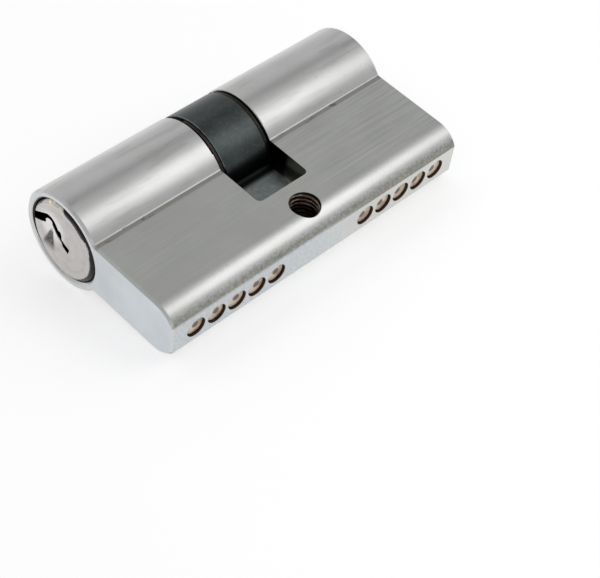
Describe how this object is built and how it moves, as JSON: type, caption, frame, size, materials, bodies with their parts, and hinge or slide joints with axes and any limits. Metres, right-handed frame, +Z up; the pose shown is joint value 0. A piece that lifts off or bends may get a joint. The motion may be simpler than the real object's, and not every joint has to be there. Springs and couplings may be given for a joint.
{
  "type": "euro cylinder",
  "caption": "Double euro profile lock cylinder: two keyed plugs in a profile housing turn a central cam between them, with a fixing screw hole through the web.",
  "frame": {"origin": "on the plugs' turning axis, at the middle of the cam", "axes": "+X along the turning axis from the front key face to the rear; +Z up with the cylinder lying on its side on a level surface, on its barrel and the edge of its toe; the toe points to -Y"},
  "size_m": [0.06, 0.0331, 0.017],
  "materials": {
    "housing": "satin nickel plating on brass, brushed along its length",
    "plug": "nickel-plated brass, faced end",
    "cam": "sintered steel, blackened and matte",
    "circlip": "oiled black spring steel",
    "clutch": "bare sintered steel",
    "key_pin": "turned brass",
    "driver_pin": "turned steel",
    "spring": "bronze spring wire",
    "cap": "dull brass, pressed in"
  },
  "bodies": {
    "housing": {"cylinder_body": "housing", "front_spring_1": "spring", "front_chamber_cap_1": "cap", "front_spring_2": "spring", "front_chamber_cap_2": "cap", "front_spring_3": "spring", "front_chamber_cap_3": "cap", "front_spring_4": "spring", "front_chamber_cap_4": "cap", "front_spring_5": "spring", "front_chamber_cap_5": "cap", "rear_spring_1": "spring", "rear_chamber_cap_1": "cap", "rear_spring_2": "spring", "rear_chamber_cap_2": "cap", "rear_spring_3": "spring", "rear_chamber_cap_3": "cap", "rear_spring_4": "spring", "rear_chamber_cap_4": "cap", "rear_spring_5": "spring", "rear_chamber_cap_5": "cap"},
    "front_plug": {"front_plug": "plug", "front_circlip": "circlip"},
    "rear_plug": {"rear_plug": "plug", "rear_circlip": "circlip"},
    "cam": {"cam": "cam"},
    "front_clutch": {"front_clutch": "clutch"},
    "rear_clutch": {"rear_clutch": "clutch"},
    "front_key_pin_1": {"front_key_pin_1": "key_pin"},
    "front_driver_pin_1": {"front_driver_pin_1": "driver_pin"},
    "front_key_pin_2": {"front_key_pin_2": "key_pin"},
    "front_driver_pin_2": {"front_driver_pin_2": "driver_pin"},
    "front_key_pin_3": {"front_key_pin_3": "key_pin"},
    "front_driver_pin_3": {"front_driver_pin_3": "driver_pin"},
    "front_key_pin_4": {"front_key_pin_4": "key_pin"},
    "front_driver_pin_4": {"front_driver_pin_4": "driver_pin"},
    "front_key_pin_5": {"front_key_pin_5": "key_pin"},
    "front_driver_pin_5": {"front_driver_pin_5": "driver_pin"},
    "rear_key_pin_1": {"rear_key_pin_1": "key_pin"},
    "rear_driver_pin_1": {"rear_driver_pin_1": "driver_pin"},
    "rear_key_pin_2": {"rear_key_pin_2": "key_pin"},
    "rear_driver_pin_2": {"rear_driver_pin_2": "driver_pin"},
    "rear_key_pin_3": {"rear_key_pin_3": "key_pin"},
    "rear_driver_pin_3": {"rear_driver_pin_3": "driver_pin"},
    "rear_key_pin_4": {"rear_key_pin_4": "key_pin"},
    "rear_driver_pin_4": {"rear_driver_pin_4": "driver_pin"},
    "rear_key_pin_5": {"rear_key_pin_5": "key_pin"},
    "rear_driver_pin_5": {"rear_driver_pin_5": "driver_pin"}
  },
  "joints": [
    {"name": "front_plug_turn", "type": "hinge", "parent": "housing", "child": "front_plug", "pos_m": [0, 0, 0], "axis": [-1, 0, 0], "continuous": true},
    {"name": "rear_plug_turn", "type": "hinge", "parent": "housing", "child": "rear_plug", "pos_m": [0, 0, 0], "axis": [-1, 0, 0], "continuous": true},
    {"name": "cam_turn", "type": "hinge", "parent": "housing", "child": "cam", "pos_m": [0, 0, 0], "axis": [-1, 0, 0], "continuous": true},
    {"name": "front_clutch_slide", "type": "slide", "parent": "front_plug", "child": "front_clutch", "axis": [1, 0, 0], "range_m": [-0.0013, 0]},
    {"name": "rear_clutch_slide", "type": "slide", "parent": "rear_plug", "child": "rear_clutch", "axis": [1, 0, 0], "range_m": [-0.0013, 0]},
    {"name": "front_key_pin_1_lift", "type": "slide", "parent": "front_plug", "child": "front_key_pin_1", "axis": [0, 0.9853, 0.1709], "range_m": [0, 0.003]},
    {"name": "front_driver_pin_1_press", "type": "slide", "parent": "housing", "child": "front_driver_pin_1", "axis": [0, -0.9853, -0.1709], "range_m": [0, 0.0025], "stiffness_N_per_m": 300, "deforming": ["front_spring_1"]},
    {"name": "front_key_pin_2_lift", "type": "slide", "parent": "front_plug", "child": "front_key_pin_2", "axis": [0, 0.9853, 0.1709], "range_m": [0, 0.002]},
    {"name": "front_driver_pin_2_press", "type": "slide", "parent": "housing", "child": "front_driver_pin_2", "axis": [0, -0.9853, -0.1709], "range_m": [0, 0.0025], "stiffness_N_per_m": 300, "deforming": ["front_spring_2"]},
    {"name": "front_key_pin_3_lift", "type": "slide", "parent": "front_plug", "child": "front_key_pin_3", "axis": [0, 0.9853, 0.1709], "range_m": [0, 0.0025]},
    {"name": "front_driver_pin_3_press", "type": "slide", "parent": "housing", "child": "front_driver_pin_3", "axis": [0, -0.9853, -0.1709], "range_m": [0, 0.0025], "stiffness_N_per_m": 300, "deforming": ["front_spring_3"]},
    {"name": "front_key_pin_4_lift", "type": "slide", "parent": "front_plug", "child": "front_key_pin_4", "axis": [0, 0.9853, 0.1709], "range_m": [0, 0.0015]},
    {"name": "front_driver_pin_4_press", "type": "slide", "parent": "housing", "child": "front_driver_pin_4", "axis": [0, -0.9853, -0.1709], "range_m": [0, 0.0025], "stiffness_N_per_m": 300, "deforming": ["front_spring_4"]},
    {"name": "front_key_pin_5_lift", "type": "slide", "parent": "front_plug", "child": "front_key_pin_5", "axis": [0, 0.9853, 0.1709], "range_m": [0, 0.0035]},
    {"name": "front_driver_pin_5_press", "type": "slide", "parent": "housing", "child": "front_driver_pin_5", "axis": [0, -0.9853, -0.1709], "range_m": [0, 0.0025], "stiffness_N_per_m": 300, "deforming": ["front_spring_5"]},
    {"name": "rear_key_pin_1_lift", "type": "slide", "parent": "rear_plug", "child": "rear_key_pin_1", "axis": [0, 0.9853, 0.1709], "range_m": [0, 0.003]},
    {"name": "rear_driver_pin_1_press", "type": "slide", "parent": "housing", "child": "rear_driver_pin_1", "axis": [0, -0.9853, -0.1709], "range_m": [0, 0.0025], "stiffness_N_per_m": 300, "deforming": ["rear_spring_1"]},
    {"name": "rear_key_pin_2_lift", "type": "slide", "parent": "rear_plug", "child": "rear_key_pin_2", "axis": [0, 0.9853, 0.1709], "range_m": [0, 0.002]},
    {"name": "rear_driver_pin_2_press", "type": "slide", "parent": "housing", "child": "rear_driver_pin_2", "axis": [0, -0.9853, -0.1709], "range_m": [0, 0.0025], "stiffness_N_per_m": 300, "deforming": ["rear_spring_2"]},
    {"name": "rear_key_pin_3_lift", "type": "slide", "parent": "rear_plug", "child": "rear_key_pin_3", "axis": [0, 0.9853, 0.1709], "range_m": [0, 0.0025]},
    {"name": "rear_driver_pin_3_press", "type": "slide", "parent": "housing", "child": "rear_driver_pin_3", "axis": [0, -0.9853, -0.1709], "range_m": [0, 0.0025], "stiffness_N_per_m": 300, "deforming": ["rear_spring_3"]},
    {"name": "rear_key_pin_4_lift", "type": "slide", "parent": "rear_plug", "child": "rear_key_pin_4", "axis": [0, 0.9853, 0.1709], "range_m": [0, 0.0015]},
    {"name": "rear_driver_pin_4_press", "type": "slide", "parent": "housing", "child": "rear_driver_pin_4", "axis": [0, -0.9853, -0.1709], "range_m": [0, 0.0025], "stiffness_N_per_m": 300, "deforming": ["rear_spring_4"]},
    {"name": "rear_key_pin_5_lift", "type": "slide", "parent": "rear_plug", "child": "rear_key_pin_5", "axis": [0, 0.9853, 0.1709], "range_m": [0, 0.0035]},
    {"name": "rear_driver_pin_5_press", "type": "slide", "parent": "housing", "child": "rear_driver_pin_5", "axis": [0, -0.9853, -0.1709], "range_m": [0, 0.0025], "stiffness_N_per_m": 300, "deforming": ["rear_spring_5"]}
  ],
  "couplings": [
    {"joint": "cam_turn", "follows": "front_plug_turn", "ratio": 1},
    {"joint": "rear_clutch_slide", "follows": "front_clutch_slide", "ratio": 1}
  ]
}
